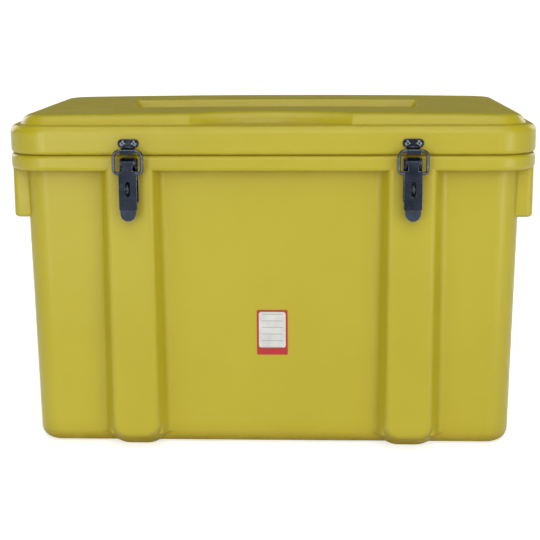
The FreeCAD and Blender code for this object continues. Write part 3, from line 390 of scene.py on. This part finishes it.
red_vinyl, tree, shader, shade = vinyl_finish("label_red_print", label_red, label_faded_red)
tree.links.new(shade, shader["Base Color"])

rule_pitch = 0.0105
rule_width = 0.0005
rule_margin = 0.0045
rule_reach = label_width / 2 - window_margin - rule_margin
white_vinyl, tree, shader, shade = vinyl_finish("label_white_film", label_white, label_grey)
across_up = place(tree, "ShaderNodeTexCoord").outputs["Object"]
axes = place(tree, "ShaderNodeSeparateXYZ", {"Vector": across_up}).outputs
row = math_node(tree, "PINGPONG", math_node(tree, "ADD", axes["Z"], rule_pitch / 4), rule_pitch / 2)
on_rule = math_node(tree, "LESS_THAN", row, rule_width)
from_middle = math_node(tree, "ABSOLUTE", axes["X"], 0.0)
within = math_node(tree, "LESS_THAN", from_middle, rule_reach)
ruled = math_node(tree, "MULTIPLY", on_rule, within)
tree.links.new(blend_colour(tree, ruled, shade, rule_grey), shader["Base Color"])

half_width, half_height = label_width / 2, label_height / 2
rim = rounded_outline(-half_width, half_width, -half_height, half_height, label_corner)
window = rounded_outline(
    window_margin - half_width,
    half_width - window_margin,
    window_foot - half_height,
    half_height - window_margin,
    window_corner,
)
sheet = bmesh.new()
rim_points = [sheet.verts.new((across, 0, up)) for across, up in rim]
window_points = [sheet.verts.new((across, 0, up)) for across, up in window]
for here in range(len(rim_points)):
    after = (here + 1) % len(rim_points)
    quad = (rim_points[here], rim_points[after], window_points[after], window_points[here])
    sheet.faces.new(quad).material_index = 0
sheet.faces.new(window_points).material_index = 1
label_mesh = bpy.data.meshes.new("front_label")
sheet.to_mesh(label_mesh)
sheet.free()
label_mesh.materials.append(red_vinyl)
label_mesh.materials.append(white_vinyl)

# The panel leans with the mould's draft, so the label is laid on two points found on it.
front_label = bpy.data.objects.new("front_label", label_mesh)
bpy.context.scene.collection.objects.link(front_label)
in_front = Vector((label_centre[0], cad_box[0].y, 0))
touching = []
for end in (-1, 1):
    above = Vector((0, 0, label_centre[1] + end * half_height))
    touching.append(nodes["tub"].ray_cast(in_front + above, Vector((0, 1, 0)))[1])
up = (touching[1] - touching[0]).normalized()
outward = Vector((1, 0, 0)).cross(up)
turn = Matrix((Vector((1, 0, 0)), outward, up)).transposed().to_4x4()
front_label.matrix_world = Matrix.Translation((touching[0] + touching[1]) / 2) @ turn
film_body = front_label.modifiers.new("film", "SOLIDIFY")
film_body.thickness = label_thickness
film_body.offset = -1.0
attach(front_label, "tub")


# A pale studio floor that turns up into a low wall all round, so that no horizon shows.
floor_radius = 18.0
floor_bend = 3.0
floor_wall = 0.9
floor_pale = paint(226, 226, 224)
floor_shade = paint(220, 220, 218)
floor_lift = 0.66
floor_rings = (0.0, 1.5, 5.0)
bend_steps = 8
turn_steps = 96

dish = bmesh.new()
flat_radius = floor_radius - floor_bend
profile = [(reach, 0.0) for reach in (*floor_rings, flat_radius)]
for step in range(1, bend_steps + 1):
    bend = math.radians(90 * step / bend_steps)
    reach = flat_radius + floor_bend * math.sin(bend)
    profile.append((reach, floor_wall * (1 - math.cos(bend))))
line = [dish.verts.new((reach, 0, height)) for reach, height in profile]
for first, second in zip(line, line[1:]):
    dish.edges.new((first, second))
bmesh.ops.spin(
    dish, geom=dish.verts[:] + dish.edges[:], axis=(0, 0, 1), cent=(0, 0, 0),
    angle=math.tau, steps=turn_steps,
)
bmesh.ops.remove_doubles(dish, verts=dish.verts, dist=0.0001)
bmesh.ops.recalc_face_normals(dish, faces=dish.faces)
for face in dish.faces:
    face.smooth = True
floor_mesh = bpy.data.meshes.new("studio_floor")
dish.to_mesh(floor_mesh)
dish.free()
floor = bpy.data.objects.new("studio_floor", floor_mesh)
bpy.context.scene.collection.objects.link(floor)

studio_white, tree, shader = start_material("studio_white", 0.9, 0.0)
paper = use_group(tree, skin, {"Cloud Scale": 1.5, "Grain Scale": 200.0})
paper_colour = blend_colour(tree, paper["Cloud"], floor_pale, floor_shade)
tree.links.new(paper_colour, shader["Base Color"])
rays = place(tree, "ShaderNodeLightPath").outputs
seen = math_node(tree, "MAXIMUM", rays["Is Camera Ray"], rays["Is Glossy Ray"])
seen = math_node(tree, "MAXIMUM", seen, rays["Is Transmission Ray"])
glow = place(tree, "ShaderNodeEmission", {"Strength": math_node(tree, "MULTIPLY", seen, floor_lift)})
lit_paper = tree.nodes["Principled BSDF"].outputs["BSDF"]
both = place(tree, "ShaderNodeAddShader", {0: lit_paper, 1: glow.outputs["Emission"]})
tree.links.new(both.outputs[0], tree.nodes["Material Output"].inputs["Surface"])
floor_mesh.materials.append(studio_white)


# Soft studio light: a broad key and fill from the front, a softbox above them, another overhead
# that gleams on the lid's brow, an upright strip at each side that catches the round corners,
# two weak lamps behind the chest, and a dim room that is lighter towards its floor.
room_low = 0.15
room_high = 0.06
ceiling_start = 0.55
lamps = {
    "key_lamp": {"azimuth": -16, "height": 10, "strength": 0.45, "spread": 40},
    "fill_lamp": {"azimuth": 24, "height": 10, "strength": 0.36, "spread": 44},
    "front_lamp": {"azimuth": 6, "height": 36, "strength": 0.84, "spread": 44},
    "brow_lamp": {"azimuth": 0, "height": 84, "strength": 0.9, "spread": 48},
    "rear_left_lamp": {"azimuth": -138, "height": 14, "strength": 0.65, "spread": 30},
    "rear_right_lamp": {"azimuth": 138, "height": 14, "strength": 0.65, "spread": 30},
}
strip_distance = 2.6
strip_height = 0.9
strips = {
    "left_strip": {"azimuth": -26, "power": 9.0, "width": 0.45},
    "right_strip": {"azimuth": 42, "power": 9.0, "width": 0.35},
}


def stand_lamp(name, light, azimuth, height):
    """Turns a lamp to face the chest from an azimuth and a height, in degrees."""
    turn_round, raised = math.radians(azimuth), math.radians(height)
    coming_from = Vector((
        math.sin(turn_round) * math.cos(raised),
        -math.cos(turn_round) * math.cos(raised),
        math.sin(raised),
    ))
    stand = bpy.data.objects.new(name, light)
    stand.rotation_euler = coming_from.to_track_quat("Z", "Y").to_euler()
    bpy.context.scene.collection.objects.link(stand)
    return stand, coming_from


for name, lamp in lamps.items():
    light = bpy.data.lights.new(name, "SUN")
    light.energy = lamp["strength"]
    light.angle = math.radians(lamp["spread"])
    stand_lamp(name, light, lamp["azimuth"], lamp["height"])
for name, strip in strips.items():
    light = bpy.data.lights.new(name, "AREA")
    light.energy = strip["power"]
    light.shape = "RECTANGLE"
    light.size = strip["width"]
    light.size_y = strip_height
    stand, coming_from = stand_lamp(name, light, strip["azimuth"], 0)
    stand.location = coming_from * strip_distance + Vector((0, 0, strip_height / 2))
    stand.visible_camera = False
room = bpy.data.worlds.new("room")
room.use_nodes = True
tree = room.node_tree
sky = tree.nodes["Background"].inputs
sky["Color"].default_value = (1.0, 1.0, 1.0, 1.0)
looking = place(tree, "ShaderNodeTexCoord").outputs["Generated"]
height = place(tree, "ShaderNodeSeparateXYZ", {"Vector": looking}).outputs["Z"]
tree.links.new(remap(tree, height, 0.0, ceiling_start, room_low, room_high), sky["Strength"])
bpy.context.scene.world = room
bpy.context.scene.view_settings.view_transform = "Standard"


# The camera stands where the photograph was taken from, a little above the lid.
camera_place = Vector((0.0715, -2.1195, 0.6762))
camera_pitch = 0.20324
camera_yaw = -0.03839
camera_roll = -0.00541
camera_lens = 85.5
sensor_width = 36.0

forward = Vector((
    math.sin(camera_yaw) * math.cos(camera_pitch),
    math.cos(camera_yaw) * math.cos(camera_pitch),
    -math.sin(camera_pitch),
))
level_right = Vector((math.cos(camera_yaw), -math.sin(camera_yaw), 0))
level_up = level_right.cross(forward)
right = level_right * math.cos(camera_roll) + level_up * math.sin(camera_roll)
upward = level_up * math.cos(camera_roll) - level_right * math.sin(camera_roll)
camera_data = bpy.data.cameras.new("photo_camera")
camera_data.lens = camera_lens
camera_data.sensor_width = sensor_width
camera = bpy.data.objects.new("photo_camera", camera_data)
camera_turn = Matrix((right, upward, -forward)).transposed().to_4x4()
camera.matrix_world = Matrix.Translation(camera_place) @ camera_turn
bpy.context.scene.collection.objects.link(camera)
bpy.context.scene.camera = camera
